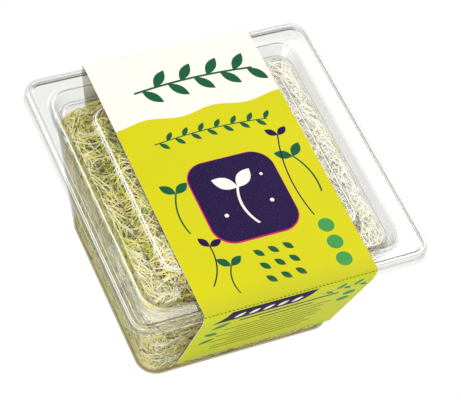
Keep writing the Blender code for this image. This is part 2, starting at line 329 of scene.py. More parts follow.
def plain_matte(name, light, dark, size, roughness):
    """A matte finish that wanders between two colours, with a fine uneven surface."""
    material, graph = new_material(name)
    share, relief = graph.fibre(graph.here(), size, 0.6)
    tint = graph.blend(share, colour(*dark), colour(*light))
    finish_solid(graph, tint, roughness, graph.bump(relief, 0.15, 0.5))
    return material


def tinted_matte(name, young, old, roughness):
    """A finish for scattered repeats: each copy's tint picks its colour between two."""
    material, graph = new_material(name)
    ripe = graph.node("ShaderNodeAttribute", attribute_name="tint").outputs["Fac"]
    mottle, relief = graph.fibre(graph.here(), 1.2, 0.5)
    share = graph.math("ADD", ripe, graph.spread(mottle, 0.0, 1.0, -0.07, 0.07))
    tint = graph.blend(share, colour(*young), colour(*old))
    finish_solid(graph, tint, roughness, graph.bump(relief, 0.1, 0.5))
    return material


def clamped(value):
    return min(1.0, max(0.0, value))


def past_flat(x, y, flat):
    """How far a point lies past the flat middle of a square's sides, each way."""
    return max(0.0, abs(x) - flat), max(0.0, abs(y) - flat)


def rounded_square(half, radius, height):
    """The points of a level square with round corners, anticlockwise from above."""
    points = []
    for quarter in range(4):
        middle = Vector((half - radius, half - radius))
        corner = []
        for step in range(CORNER_STEPS + 1):
            angle = math.radians(90.0 * step / CORNER_STEPS)
            corner.append(middle + radius * Vector((math.cos(angle), math.sin(angle))))
        after = Vector((-corner[0].y, corner[0].x))
        side = [corner[-1].lerp(after, step / SIDE_STEPS) for step in range(1, SIDE_STEPS)]
        for spot in corner + side:
            for _ in range(quarter):
                spot = Vector((-spot.y, spot.x))
            points.append(Vector((spot.x, spot.y, height)) * MM)
    return points


def soften(profile):
    """Rounds a profile's corners. Each entry is half width, corner radius, height, how far
    the rounding reaches, and the painted highlight (above 0) or painted shade (below 0) on its bend
    along the sides and the ends."""
    spots = [Vector(entry[:3]) for entry in profile]
    soft = [Level(*spots[0], 0.0, 0.0)]
    for before, spot, after, entry in zip(spots, spots[1:], spots[2:], profile[1:]):
        reach = entry[3]
        side_bend, end_bend = entry[4:] or (0.0, 0.0)
        if reach == 0.0:
            soft.append(Level(*spot, side_bend, end_bend))
            continue
        start = spot + (before - spot).normalized() * min(reach, (before - spot).length * 0.49)
        end = spot + (after - spot).normalized() * min(reach, (after - spot).length * 0.49)
        for step in range(SOFT_STEPS + 1):
            share = step / SOFT_STEPS
            place = start.lerp(spot, share).lerp(spot.lerp(end, share), share)
            crest = 4.0 * share * (1.0 - share)
            soft.append(Level(*place, side_bend * crest, end_bend * crest))
    soft.append(Level(*spots[-1], 0.0, 0.0))
    return soft


def painted_light_at(spot, level):
    """The painted highlight or painted shade of a bend at a point of its ring, between its sides and its
    ends.
    """
    over = Vector(past_flat(spot.x, spot.y, (level.half - level.radius) * MM))
    share = over.normalized().x ** 2
    return level.side_bend * share + level.end_bend * (1.0 - share)


def square_shell(levels, closed_start, closed_end, sway=None):
    """A shell drawn from a first ring through level rounded squares, its faces outwards."""
    shape = bmesh.new()
    place = shape.verts.layers.int.new("place")
    # The bend layer holds each ring's painted highlight (above 0) or painted shade (below 0).
    bend = shape.verts.layers.float.new("bend")
    first = rounded_square(*levels[0][:3])
    bmesh.ops.create_circle(shape, segments=len(first), radius=1.0)
    for index, vert in enumerate(shape.verts):
        vert[place] = index
    edges = shape.edges[:]
    ends = []
    for number, level in enumerate(levels):
        if number:
            drawn = bmesh.ops.extrude_edge_only(shape, edges=edges)["geom"]
            edges = [item for item in drawn if isinstance(item, bmesh.types.BMEdge)]
        ring = rounded_square(*level[:3])
        for vert in {vert for edge in edges for vert in edge.verts}:
            spot = ring[vert[place]]
            vert.co = spot + (sway(spot) if sway else Vector())
            vert[bend] = painted_light_at(spot, level)
        ends.append(edges)
    for edges, closed in ((ends[0], closed_start), (ends[-1], closed_end)):
        if closed:
            bmesh.ops.contextual_create(shape, geom=edges)
    bmesh.ops.recalc_face_normals(shape, faces=shape.faces)
    cap = max(shape.faces, key=lambda face: len(face.verts))
    cap.normal_update()
    if closed_start != closed_end and (cap.normal.z > 0.0) == closed_start:
        bmesh.ops.reverse_faces(shape, faces=shape.faces)
    return shape


def finished_mesh(name, shape):
    mesh = bpy.data.meshes.new(name)
    shape.to_mesh(mesh)
    shape.free()
    return mesh


def new_piece(name, shape, materials, slot, *nodes):
    return mesh_piece(name, finished_mesh(name, shape), materials, slot, *nodes)


def mesh_piece(name, mesh, materials, slot, *nodes):
    """Makes a mesh a piece of the object, in place of its CAD node."""
    mesh.shade_smooth()
    piece = bpy.data.objects.new(name, mesh)
    bpy.context.scene.collection.objects.link(piece)
    for material in materials:
        mesh.materials.append(material)
    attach(piece, BODY)
    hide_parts(*nodes)
    return piece


def thicken(piece, thickness, offset):
    wall = piece.modifiers.new("Wall", "SOLIDIFY")
    wall.thickness = thickness * MM
    wall.offset = offset
    wall.use_even_offset = True
    even = piece.modifiers.new("Even", "WEIGHTED_NORMAL")
    even.keep_sharp = True
    return wall


def wall_half(height):
    """Half the tub's outer width at a height on its sloping wall."""
    return BASE_HALF + (height - BASE_ROUND) * WALL_SLOPE


def make_tub():
    """The tub: flat base, sloping walls, a step and a turned-down rim."""
    profile = []
    for degrees in range(0, 91, 15):
        angle = math.radians(degrees)
        half = BASE_HALF - BASE_ROUND * (1.0 - math.sin(angle))
        profile.append((half, half - BASE_HALF + CORNER, BASE_ROUND * (1.0 - math.cos(angle)), 0.0))
    ledge_half = wall_half(LEDGE_HEIGHT)
    lip_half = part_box("tub")[1].x / MM
    # An entry's last two numbers are the painted highlight (above 0) or painted shade (below 0) on its
    # bend, along the sides and the ends.
    profile += [
        (ledge_half, CORNER, LEDGE_HEIGHT, 0.8, 0.4, 0.35),
        (ledge_half + 1.5, CORNER + 0.6, LEDGE_HEIGHT + 0.8, 0.6, 0.3, 0.5),
        (ledge_half + 2.9, CORNER + 1.0, TUB_RIM - 0.7, 0.3),
        (ledge_half + 3.7, CORNER + 1.4, TUB_RIM, 0.4),
        (lip_half - 0.5, CORNER - 3.2, TUB_RIM, 0.3),
        (lip_half, CORNER - 2.8, TUB_RIM - 0.5, 0.3, 0.5, 0.2),
        (lip_half, CORNER - 2.8, TUB_RIM - 1.7, 0.0),
    ]
    shape = square_shell(soften(profile), True, False)
    # The last colour is the tub's foot tint, a painted shade for the shaded tangle behind it.
    plastic = clear_plastic("tub_plastic", 0.015, (0.965, 0.965, 0.955), (0.63, 0.58, 0.38))
    tub = new_piece("tub_sheet", shape, [plastic], "tub_plastic", "tub")
    thicken(tub, TUB_WALL, -1.0)


def make_lid():
    """The lid: raised middle, sunk ring, flat flange, round bead and skirt."""
    channel = RIM_TOP - CHANNEL_DEPTH
    # An entry's last two numbers are the painted highlight (above 0) or painted shade (below 0) on its
    # bend, along the sides and the ends.
    profile = [
        (RIM_HALF + 0.1, 7.7, RIM_TOP - 4.0, 0.0),
        (RIM_HALF - 0.2, 7.4, RIM_TOP - 3.4, 0.3, 0.3, 0.45),
        (RIM_HALF - 0.2, 7.4, RIM_TOP, 0.3),
        (RIM_HALF - 0.5, 7.1, RIM_TOP + 0.7, 0.35, 0.5, 0.1),
        (RIM_HALF - 1.1, 6.5, RIM_TOP + 1.0, 0.35, 0.8, -0.3),
        (RIM_HALF - 2.1, 5.5, RIM_TOP + 1.0, 0.35, -0.3, 0.2),
        (RIM_HALF - 2.7, 4.9, RIM_TOP + 0.7, 0.35, 0.3, -0.4),
        (RIM_HALF - 3.2, 4.4, RIM_TOP, 0.35, 0.6, -0.95),
        (RECESS_HALF, 9.0, RIM_TOP, 0.6, 0.95, -0.5),
        (RECESS_HALF - 0.8, 8.2, RIM_TOP - 0.6, 0.4, 0.5, 0.1),
        (RECESS_HALF - 3.5, 6.5, channel + 0.6, 0.4, -0.3, -0.3),
        (RECESS_HALF - 4.4, 5.6, channel, 0.5, 0.35, -0.4),
        (PLATEAU_HALF + 2.6, 9.6, channel, 0.5, -0.25, -0.3),
        (PLATEAU_HALF + 1.8, 8.8, channel + 0.6, 0.4),
        (PLATEAU_HALF, 7.0, LID_TOP - 0.6, 0.5, 0.6, 0.3),
        (PLATEAU_HALF - 0.9, 6.1, LID_TOP, 0.6, 0.95, 0.6),
        (PLATEAU_HALF - 3.0, 4.0, LID_TOP, 0.0),
    ]
    shape = square_shell(soften(profile), False, True)
    plastic = clear_plastic("lid_plastic", 0.02, (0.965, 0.965, 0.955), (0.9, 0.9, 0.9))
    lid = new_piece("lid_sheet", shape, [plastic], "lid_plastic", "lid")
    thicken(lid, LID_WALL, -1.0)


def sleeve_path():
    """The sleeve's middle line from the top of the lid to the end of one flap, as pairs
    of distance from the middle and height."""
    top = CARD_TOP - CARD / 2
    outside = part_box("sleeve")[1].y / MM - CARD / 2
    fold = 0.9
    path = [Vector((outside * step / CARD_TOP_STEPS, top)) for step in range(CARD_TOP_STEPS)]
    for degrees in range(0, 91, 10):
        angle = math.radians(degrees)
        away = outside - fold + fold * math.sin(angle)
        path.append(Vector((away, top - fold + fold * math.cos(angle))))
    path += [Vector((outside - 0.1, SKIRT_END)), Vector((outside - 0.8, SKIRT_END - 3.0))]
    last = path[-1]
    end = Vector((wall_half(FLAP_END_HEIGHT) + GAP + CARD, FLAP_END_HEIGHT))
    path += [last.lerp(end, step / FLAP_STEPS) for step in range(1, FLAP_STEPS + 1)]
    return path


def make_sleeve():
    """The sleeve: one strip of card folded down over the front and back rims. Its UV map
    is the unfolded card."""
    half_path = sleeve_path()
    stations = [Vector((-away, height)) for away, height in reversed(half_path)] + half_path[1:]
    middle = len(half_path) - 1
    along = [0.0] * len(stations)
    for index in range(middle + 1, len(stations)):
        along[index] = along[index - 1] + (stations[index] - stations[index - 1]).length
        along[2 * middle - index] = -along[index]
    shape = bmesh.new()
    sheet = shape.loops.layers.uv.new("unfolded")
    rows = []
    for (away, height), distance in zip(stations, along):
        down = max(0.0, (SKIRT_END - height) / (SKIRT_END - FLAP_END_HEIGHT))
        left = SLEEVE_LEFT + (FLAP_END_LEFT - SLEEVE_LEFT) * down
        right = SLEEVE_RIGHT + (FLAP_END_RIGHT - SLEEVE_RIGHT) * down
        row = []
        for step in range(CARD_COLUMNS + 1):
            across = left + (right - left) * step / CARD_COLUMNS
            vert = shape.verts.new(Vector((across, away, height)) * MM)
            row.append((vert, (across / UV_UNIT, distance / UV_UNIT)))
        rows.append(row)
    for lower, upper in zip(rows, rows[1:]):
        for (a, b), (d, c) in zip(zip(lower, lower[1:]), zip(upper, upper[1:])):
            face = shape.faces.new((a[0], b[0], c[0], d[0]))
            for loop, corner in zip(face.loops, (a, b, c, d)):
                loop[sheet].uv = corner[1]
            face.material_index = 1 if a[1][1] * UV_UNIT < FRONT_FOLD else 0
    finishes = [printed_card("printed_top", card_colours), printed_card("printed_flap", flap_colours)]
    finishes.append(bare_board())
    sleeve = new_piece("card_sleeve", shape, finishes, "printed_card", "sleeve")
    wall = thicken(sleeve, CARD, 0.0)
    wall.material_offset = 2
    wall.material_offset_rim = 2


class Sheet:
    """Draws plain printed shapes on the unfolded card. Places are in millimetres: across
    the sleeve, and along it from the middle of the lid, positive towards the back."""

    def __init__(self, graph):
        self.graph = graph
        coordinates = graph.node("ShaderNodeUVMap", uv_map="unfolded").outputs[0]
        self.place = graph.vector("MULTIPLY", coordinates, (UV_UNIT, UV_UNIT, 0.0))
        self.across, self.along = graph.axes(self.place)[:2]

    def local(self, middle, size, turn=0.0):
        """Coordinates that run from -1 to 1 over a shape's own length and width."""
        inputs = {
            "Vector": self.place,
            "Location": (*middle, 0.0),
            "Rotation": (0.0, 0.0, math.radians(turn)),
            "Scale": (*size, 1.0),
        }
        return self.graph.node("ShaderNodeMapping", inputs, vector_type="TEXTURE").outputs[0]

    def crest(self, x):
        """An arch that is 1 in the middle and 0 at -1 and 1."""
        return self.graph.math("SUBTRACT", 1.0, self.graph.math("MULTIPLY", x, x))

    def disc(self, middle, radius):
        away = self.graph.vector("LENGTH", self.local(middle, (radius, radius)))
        return self.graph.math("LESS_THAN", away, 1.0)

    def leaf(self, middle, length, width, turn):
        """A pointed oval."""
        graph = self.graph
        x, y = graph.axes(self.local(middle, (length / 2, width / 2), turn))[:2]
        return graph.math("LESS_THAN", graph.math("ABSOLUTE", y), self.crest(x))

    def stalk(self, start, end, bow, width):
        """A bowed line from start to end."""
        graph = self.graph
        start, end = Vector(start), Vector(end)
        half = (end - start).length / 2
        turn = math.degrees(math.atan2(end.y - start.y, end.x - start.x))
        x, y = graph.axes(self.local((start + end) / 2, (half, half), turn))[:2]
        arch = graph.math("MULTIPLY", self.crest(x), bow / half)
        away = graph.math("ABSOLUTE", graph.math("SUBTRACT", y, arch))
        near = graph.math("LESS_THAN", away, width / 2 / half)
        return graph.math("MULTIPLY", near, graph.math("LESS_THAN", graph.math("ABSOLUTE", x), 1.0))

    def panel(self, middle, half, radius):
        """A rounded rectangle."""
        graph = self.graph
        away = graph.vector("ABSOLUTE", self.local(middle, (1.0, 1.0)))
        over = graph.vector("SUBTRACT", away, (half[0] - radius, half[1] - radius, 0.0))
        over = graph.vector("MAXIMUM", over, (0.0, 0.0, 0.0))
        return graph.math("LESS_THAN", graph.vector("LENGTH", over), radius)

    def union(self, masks):
        """Masks are drawn and joined one by one, which keeps few values waiting."""
        total = None
        for mask in masks:
            total = mask if total is None else self.graph.math("MAXIMUM", total, mask)
        return total

    def leaning_leaf(self, foot, turn, lean, length, width):
        """A leaf that grows from its foot, leaning off a direction."""
        angle = math.radians(turn + lean)
        reach = Vector((math.cos(angle), math.sin(angle))) * length / 2
        return self.leaf(Vector(foot) + reach, length, width, turn + lean)

    def sprig(self, foot, tip, bow, size):
        """A stalk that ends in a pair of seed leaves."""
        ahead = Vector(tip) - Vector(foot)
        turn = math.degrees(math.atan2(ahead.y, ahead.x))
        stalk = self.stalk(foot, tip, bow, size * 0.1)
        leans = (-52.0, 52.0)
        pair = self.union(self.leaning_leaf(tip, turn, lean, size, size * 0.52) for lean in leans)
        return self.union((stalk, pair))


# Inks, the painted shade before the card's fold, and the painted shade in its cuts
LEAF_GREEN = colour(0.004, 0.088, 0.034)
MID_GREEN = colour(0.045, 0.27, 0.06)
FLAP_GREEN = colour(0.012, 0.2, 0.075)
RULE_GREEN = colour(0.05, 0.07, 0.015)
PLUM = colour(0.011, 0.002, 0.042)
PLUM_SPECK = colour(0.06, 0.018, 0.15)
MAGENTA = colour(0.5, 0.01, 0.12)
LIME = colour(0.56, 0.53, 0.0035)
FLAP_LIME = colour(0.53, 0.57, 0.008)
CREAM = colour(0.82, 0.755, 0.685)
FOLD_SHADE = colour(0.3, 0.33, 0.04)
CUT_SHADE = colour(0.03, 0.03, 0.015)


def garland(sheet, start, end, count, size):
    """A row of leaves that lean to either side of a thin bowed stalk."""
    start, end = Vector(start), Vector(end)
    turn = math.degrees(math.atan2(end.y - start.y, end.x - start.x))
    bow = 1.6

    def leaf(index):
        share = (index + 0.6) / count
        foot = start.lerp(end, share) + Vector((0.0, bow * 4 * share * (1 - share)))
        return sheet.leaning_leaf(foot, turn, 48.0 if index % 2 else -48.0, size, size * 0.42)

    leaves = sheet.union(leaf(index) for index in range(count))
    return sheet.union((leaves, sheet.stalk(start, end, bow, size * 0.1)))


def card_colours(sheet):
    """The printed colours: a cream and a lime field, a plum panel with a pale sprig, and
    plain leaves, dots and rules."""
    graph = sheet.graph
    wave = graph.math("SINE", graph.math("MULTIPLY", sheet.across, 0.21))
    border = graph.math("ADD", 29.5, graph.math("MULTIPLY", wave, 1.1))
    field = graph.math("GREATER_THAN", sheet.along, border)
    print_colour = graph.blend(field, LIME, CREAM)

    greens = sheet.union([
        garland(sheet, (-22.0, 45.0), (32.0, 45.0), 9, 10.5),
        garland(sheet, (-24.0, 17.5), (27.0, 17.5), 14, 5.2),
        sheet.sprig((-27.0, -28.0), (-25.0, -8.0), 2.0, 7.5),
        sheet.sprig((33.0, -24.0), (29.0, -4.0), -2.0, 8.0),
        sheet.sprig((-19.0, -60.0), (-17.5, -47.0), 1.5, 6.5),
    ])
    print_colour = graph.blend(greens, print_colour, LEAF_GREEN)
    plums = sheet.union([
        sheet.sprig((25.0, -34.0), (27.5, 8.0), 3.0, 6.0),
        sheet.sprig((-28.0, -54.0), (-22.0, -36.0), -2.0, 6.0),
    ])
    print_colour = graph.blend(plums, print_colour, PLUM)
    print_colour = graph.blend(sheet.panel((0.6, -17.2), (19.2, 20.8), 9.4), print_colour, MAGENTA)
    spots = graph.vector("MULTIPLY", sheet.place, (MM, MM, 0.0))
    speckle = graph.spread(graph.grain(spots, 0.7, 2.0), 0.6, 0.72)
    plum = graph.blend(speckle, PLUM, PLUM_SPECK)
    print_colour = graph.blend(sheet.panel((0.8, -16.9), (18.8, 20.3), 9.0), print_colour, plum)
    pale = sheet.union([
        sheet.sprig((2.0, -31.0), (0.5, -12.0), 2.5, 11.0),
        sheet.disc((-9.5, -24.0), 0.9),
        sheet.disc((11.5, -22.0), 0.9),
        sheet.disc((12.5, -8.5), 0.7),
    ])
    print_colour = graph.blend(pale, print_colour, CREAM)
    print_colour = graph.blend(dot_block(sheet, (2.0, -51.0), 9.6, 6.4), print_colour, LEAF_GREEN)
    dots = sheet.union(sheet.disc((27.5, -40.0 - 8.6 * row), 3.4) for row in range(3))
    print_colour = graph.blend(dots, print_colour, MID_GREEN)
    return print_colour


def dot_block(sheet, middle, half, pitch):
    """A square block of small leaves, turned one way and the other."""
    graph = sheet.graph
    local = sheet.local(middle, (pitch, pitch))
    cell = graph.vector("FRACTION", graph.vector("ADD", local, (10.5, 10.5, 0.0)))
    x, y = graph.axes(graph.vector("SUBTRACT", cell, (0.5, 0.5, 0.0)))[:2]
    lean, other = graph.math("ADD", x, y), graph.math("SUBTRACT", x, y)
    curve = graph.math("MULTIPLY", graph.math("MULTIPLY", other, other), 0.9)
    edge = graph.math("SUBTRACT", 0.3, curve)
    leaf = graph.math("LESS_THAN", graph.math("ABSOLUTE", lean), edge)
    return graph.math("MULTIPLY", leaf, sheet.panel(middle, (half, half), 1.0))


def flap_colours(sheet):
    """The front flap's plum band and bars, thin rules and small leaves, on lime."""
    graph = sheet.graph
    band = sheet.panel((-9.0, -72.0), (24.0, 4.4), 0.3)
    bars = sheet.union([
        graph.math("MULTIPLY", slanted(sheet, -28.0, 9.5), band),
        sheet.panel((3.5, -80.6), (22.0, 0.95), 0.8),
        sheet.panel((4.0, -86.4), (12.0, 0.8), 0.6),
    ])
    print_colour = graph.blend(bars, FLAP_LIME, PLUM)
    pale = sheet.union(sheet.leaf((-20.5 + 6.2 * step, -72.0), 5.6, 2.6, 40.0) for step in range(5))
    print_colour = graph.blend(pale, print_colour, CREAM)
    middles = (2.0, 4.0, 0.0, 5.0, 1.0, 3.0, 2.0, 1.0)
    halves = (24.0, 20.0, 23.0, 21.0, 24.0, 18.0, 23.0, 21.0)

    first, pitch = -91.6, 4.3

    def rule(row):
        return sheet.panel((middles[row], first - pitch * row), (halves[row], 0.62), 0.5)

    rules = graph.math("MULTIPLY", sheet.union(rule(row) for row in range(len(middles))), 0.85)
    print_colour = graph.blend(rules, print_colour, RULE_GREEN)
    leaves = sheet.union([
        garland(sheet, (16.0, -75.0), (35.0, -75.0), 5, 5.6),
        sheet.leaf((-25.5, -83.0), 9.0, 4.6, 38.0),
        sheet.leaf((-27.0, -94.0), 8.0, 4.2, -38.0),
        sheet.leaf((-26.0, -105.0), 8.0, 4.2, 38.0),
        sheet.disc((32.0, -85.5), 2.8),
        sheet.disc((32.0, -94.0), 2.8),
    ])
    return graph.blend(leaves, print_colour, FLAP_GREEN)


def slanted(sheet, left, right):
    """Keeps a band between two ends that slant with the card's height."""
    graph = sheet.graph
    lean = graph.math("MULTIPLY", graph.math("ADD", sheet.along, 72.0), -0.8)
    shifted = graph.math("ADD", sheet.across, lean)
    after = graph.math("GREATER_THAN", shifted, left)
    return graph.math("MULTIPLY", after, graph.math("LESS_THAN", shifted, right))


def perforation(sheet, along, pitch):
    """A line of short cuts across the card, on its fold."""
    graph = sheet.graph
    near = graph.math("ABSOLUTE", graph.math("SUBTRACT", sheet.along, along))
    row = graph.math("LESS_THAN", near, 0.26)
    beat = graph.math("FRACT", graph.math("DIVIDE", graph.math("ADD", sheet.across, 200.0), pitch))
    return graph.math("MULTIPLY", row, graph.math("LESS_THAN", beat, 0.5))


def printed_card(name, colours):
    """Satin print on card: flat inks with a little mottle, a painted shade on the top before the front
    fold, and cuts along that fold whose slits are painted dark as shade.
    """
    material, graph = new_material(name)
    sheet = Sheet(graph)
    inks = colours(sheet)
    place = graph.here()
    mottle = graph.spread(graph.grain(place, 30.0, 3.0), 0.3, 0.7, 0.96, 1.02)
    inks = graph.node("ShaderNodeVectorMath", {0: inks, "Scale": mottle}, operation="SCALE").outputs[0]
    above = graph.math("GREATER_THAN", sheet.along, FRONT_FOLD)
    # Painted shade: the card's top darkens over the last millimetres before the front fold.
    painted_fold_shade = graph.math("MULTIPLY", graph.spread(sheet.along, SHADE_FROM, FRONT_FOLD), above)
    inks = graph.blend(graph.math("MULTIPLY", painted_fold_shade, 0.35), inks, FOLD_SHADE)
    # The cuts' slits are painted dark, a painted shade.
    cuts = perforation(sheet, FRONT_FOLD, CUT_PITCH)
    inks = graph.blend(cuts, inks, CUT_SHADE)
    fibre = graph.grain(place, 0.35, 3.0, 0.6)
    dents = graph.grain(place, 18.0, 1.0)
    height = graph.math("ADD", graph.math("MULTIPLY", fibre, 0.1), dents)
    height = graph.math("SUBTRACT", height, cuts)
    satin = graph.spread(fibre, 0.3, 0.7, 0.42, 0.52)
    finish_solid(graph, inks, satin, graph.bump(height, 0.25, 0.4), 0.08)
    return material


def bare_board():
    """The card's unprinted side and its cut edges: greyish white fibre board."""
    return plain_matte("bare_board", (0.93, 0.92, 0.86), (0.86, 0.84, 0.77), 2.5, 0.8)


def room_half(height):
    """Half the room for sprouts inside the tub at a height."""
    return wall_half(height) - TUB_WALL - ROOM_GAP


def room_top(x, y):
    """Height of the room under the lid: it rises under the lid's raised middle."""
    low = RIM_TOP - CHANNEL_DEPTH - LID_WALL - ROOM_GAP
    high = LID_TOP - LID_WALL - ROOM_GAP
    away = max(abs(x), abs(y))
    return low + (high - low) * clamped((PLATEAU_HALF - away) / 3.0)


def on_wall(turn, height, depth):
    """A point below the tangle's side: turn counts sides from the +X one, 0 to 4."""
    half = room_half(height) - depth
    radius = max(1.0, CORNER - depth)
    straight = 2.0 * (half - radius)
    arc = radius * math.pi / 4
    side = int(turn) % 4
    along = (turn % 1.0) * (straight + 2 * arc)
    corner = half - radius
    if along < arc:
        angle = along / radius - math.pi / 4
        x, y = corner + radius * math.cos(angle), -corner + radius * math.sin(angle)
    elif along < arc + straight:
        x, y = half, along - arc - corner
    else:
        angle = (along - arc - straight) / radius
        x, y = corner + radius * math.cos(angle), corner + radius * math.sin(angle)
    for _ in range(side):
        x, y = -y, x
    return Vector((x, y, height))


def wall_spot(x, y, depth):
    """A point at a distance x round the walls, which may pass several times round."""
    return on_wall((x / SIDE_LENGTH + 0.5) % 4.0, y, depth)


def kept_in(x, y, height):
    """A point moved inside the tub's round corners at its height."""
    flat = room_half(height) - CORNER
    over = Vector(past_flat(x, y, flat))
    if over.length > CORNER - 0.6:
        over *= (CORNER - 0.6) / over.length
        x = math.copysign(min(abs(x), flat) + over.x, x)
        y = math.copysign(min(abs(y), flat) + over.y, y)
    return Vector((x, y, height))


def top_spot(x, y, depth):
    return kept_in(x, y, room_top(x, y) - depth)


def floor_spot(x, y, depth):
    return kept_in(x, y, ROOM_FLOOR + depth)


def slump(spot):
    """How far the tangle sags away from the plastic at a point of its outside. It is
    pressed into the base's edges."""
    sag = max(0.0, (2.6 * noise.noise(spot * 0.07) - 0.2) * clamped((spot.z - 3.0) / 14.0))
    for middle, reach, depth in HOLLOWS:
        sag += depth * max(0.0, 1.0 - (middle - spot).length / reach)
    return sag


def inside(x, y, region):
    return region.low.x < x < region.high.x and region.low.y < y < region.high.y


def in_room(spot, margin):
    """Whether a point is in the room for sprouts, at least a margin from its outside."""
    if not ROOM_FLOOR + margin < spot.z < room_top(spot.x, spot.y) - margin:
        return False
    over = past_flat(spot.x, spot.y, room_half(spot.z) - CORNER)
    return math.hypot(*over) < CORNER - margin


def paleness(spot):
    """The right-hand end of the tangle's top is paler: its stems are whiter, partly a painted light."""
    along = clamped((spot.x - PALE_FROM) / (PALE_TO - PALE_FROM))
    return along * clamped((spot.z - PALE_ABOVE) / 6.0)


def clump(spot):
    """Where the tangle is green, leafy and darker (a painted shade), above 0, and where it is pale,
    below 0.
    """
    # The front is pushed towards pale, part of the painted light at the tangle's front.
    front = clamped((-spot.y - 20.0) / 14.0)
    return noise.noise(spot * 0.13 + Vector((40.0, 0.0, 0.0))) - 0.1 * front


def choose_kind(draw, spot, depth):
    """Picks a stem's kind: pale kinds lie outside and darker green, olive and brown ones deeper in the
    tangle, a painted shade; paler kinds at the front are a painted light, darker kinds under the flap a
    painted shade, and whiter kinds at the right-hand end are partly a painted light.
    """
    # Painted shade: deeper stems pick darker kinds.
    depth_shade = clamped((depth - 1.2) / 4.2)
    # Painted light: stems at the front pick paler kinds.
    front = 0.95 * clamped((-spot.y - 26.0) / 8.0)
    pale = paleness(spot)
    # Painted shade: under the flap the stems pick darker kinds.
    shaded = spot.y < -36.0 and spot.z < 9.0 and FLAP_END_LEFT - 3.0 < spot.x < FLAP_END_RIGHT
    flap_shade = 0.75 if shaded else 0.0
    weights = []
    gathered = (clump(spot) + 0.06) * (1.0 - pale)
    kinds = zip(NEAR_KINDS, DEEP_SHADE_KINDS, FRONT_LIGHT_KINDS, WHITE_KINDS, SHADE_KINDS, CLUMP_LEAN)
    for near, far, bright, white, shade, lean in kinds:
        mixed = near + (far - near) * depth_shade
        mixed += (bright - mixed) * front
        mixed += (shade - mixed) * flap_shade
        mixed += (white - mixed) * pale
        weights.append(mixed * math.exp(lean * gathered))
    return draw.choices(range(len(weights)), weights=weights)[0]


def grow_sprout(draw, region):
    """One stem: it wanders below the tangle's outside, thin at its root end."""
    low, high = region.low, region.high
    x, y = draw.uniform(low.x, high.x), draw.uniform(low.y, high.y)
    length = draw.uniform(*STEM_LENGTHS)
    heading = draw.uniform(-math.pi, math.pi)
    bend = draw.gauss(0.0, 0.16)
    swing = draw.uniform(0.0, 0.45)
    phase = draw.uniform(0.0, 2.0 * math.pi)
    depth = SHALLOWEST + DEPTH_RANGE * draw.random() ** 2.5
    dive = draw.uniform(0.3, 1.6)
    size = draw.uniform(*STEM_SIZES)
    points, sizes = [], []
    stride = length / STEM_STEPS
    for step in range(STEM_STEPS + 1):
        below = max(LEAST_DEPTH, depth + dive * math.sin(phase + step * 0.8))
        below += slump(region.spot(x, y, 0.0))
        points.append(region.spot(x, y, below))
        sizes.append(size * (0.55 + 0.45 * min(1.0, step / 4.0)))
        heading += bend + swing * math.sin(phase + step * 1.25)
        for _ in range(4):
            if inside(x + stride * math.cos(heading), y + stride * math.sin(heading), region):
                break
            heading += 1.1
        x += stride * math.cos(heading)
        y += stride * math.sin(heading)
        x, y = min(max(x, low.x), high.x), min(max(y, low.y), high.y)
    kind = choose_kind(draw, points[STEM_STEPS // 2], depth)
    outward = (region.spot(x, y, 0.0) - region.spot(x, y, 1.0)).normalized()
    return Sprout(points, sizes, kind, outward, below)


def stem_piece(name, sprouts, materials):
    """Many stems as one piece: thin four-sided tubes along their points."""
    data = bpy.data.curves.new(name, "CURVE")
    data.dimensions = "3D"
    data.bevel_depth = STEM_RADIUS * MM
    data.bevel_resolution = 0
    data.use_fill_caps = True
    for material in materials:
        data.materials.append(material)
    for sprout in sprouts:
        spline = data.splines.new("POLY")
        spline.points.add(len(sprout.points) - 1)
        for point, spot, size in zip(spline.points, sprout.points, sprout.sizes):
            point.co = (*(spot * MM), 1.0)
            point.radius = size
        spline.material_index = sprout.kind
    wire = bpy.data.objects.new(name + "_lines", data)
    bpy.context.scene.collection.objects.link(wire)
    graph = bpy.context.evaluated_depsgraph_get()
    mesh = bpy.data.meshes.new_from_object(wire.evaluated_get(graph))
    bpy.data.objects.remove(wire)
    shape = bmesh.new()
    shape.from_mesh(mesh)
    bmesh.ops.remove_doubles(shape, verts=shape.verts, dist=0.000001)
    return new_piece(name, shape, materials, "sprout_tangle", "sprouts")


def small_oval(name, length, width, thickness, cup):
    """A small oval along X, a little cupped."""
    shape = bmesh.new()
    bmesh.ops.create_uvsphere(shape, u_segments=6, v_segments=5, radius=0.5)
    bmesh.ops.rotate(shape, verts=shape.verts, matrix=Matrix.Rotation(math.pi / 2, 3, "Y"))
    bmesh.ops.scale(shape, verts=shape.verts, vec=Vector((length, width, thickness)) * MM)
    for vert in shape.verts:
        share = vert.co.x / (length * MM)
        vert.co.z += cup * MM * (1.0 - 4.0 * share * share)
        vert.co.x += length * MM / 2
    return finished_mesh(name, shape)


def copies(name, template, places, tints, material):
    """One piece of many copies of a small shape, each with its own tint."""
    points = np.array([(*vert.co, 1.0) for vert in template.vertices])
    spots = np.concatenate([(points @ np.array(place).T)[:, :3] for place in places])
    count = len(points)
    corners = [tuple(face.vertices) for face in template.polygons]
    faces = [[index + copy * count for index in face] for copy in range(len(places)) for face in corners]
    mesh = bpy.data.meshes.new(name)
    mesh.from_pydata(spots.tolist(), [], faces)
    tint = mesh.attributes.new("tint", "FLOAT", "POINT")
    tint.data.foreach_set("value", np.repeat(np.array(tints, dtype=np.float32), count))
    return mesh_piece(name, mesh, [material], "sprout_tangle", "sprouts")


def facing(middle, ahead, outward):
    """The place of a small shape: its length ahead and its face outward."""
    across = outward.cross(ahead).normalized()
    up = ahead.cross(across).normalized()
    turn = Matrix((ahead, across, up)).transposed().to_4x4()
    return Matrix.Translation(middle * MM) @ turn


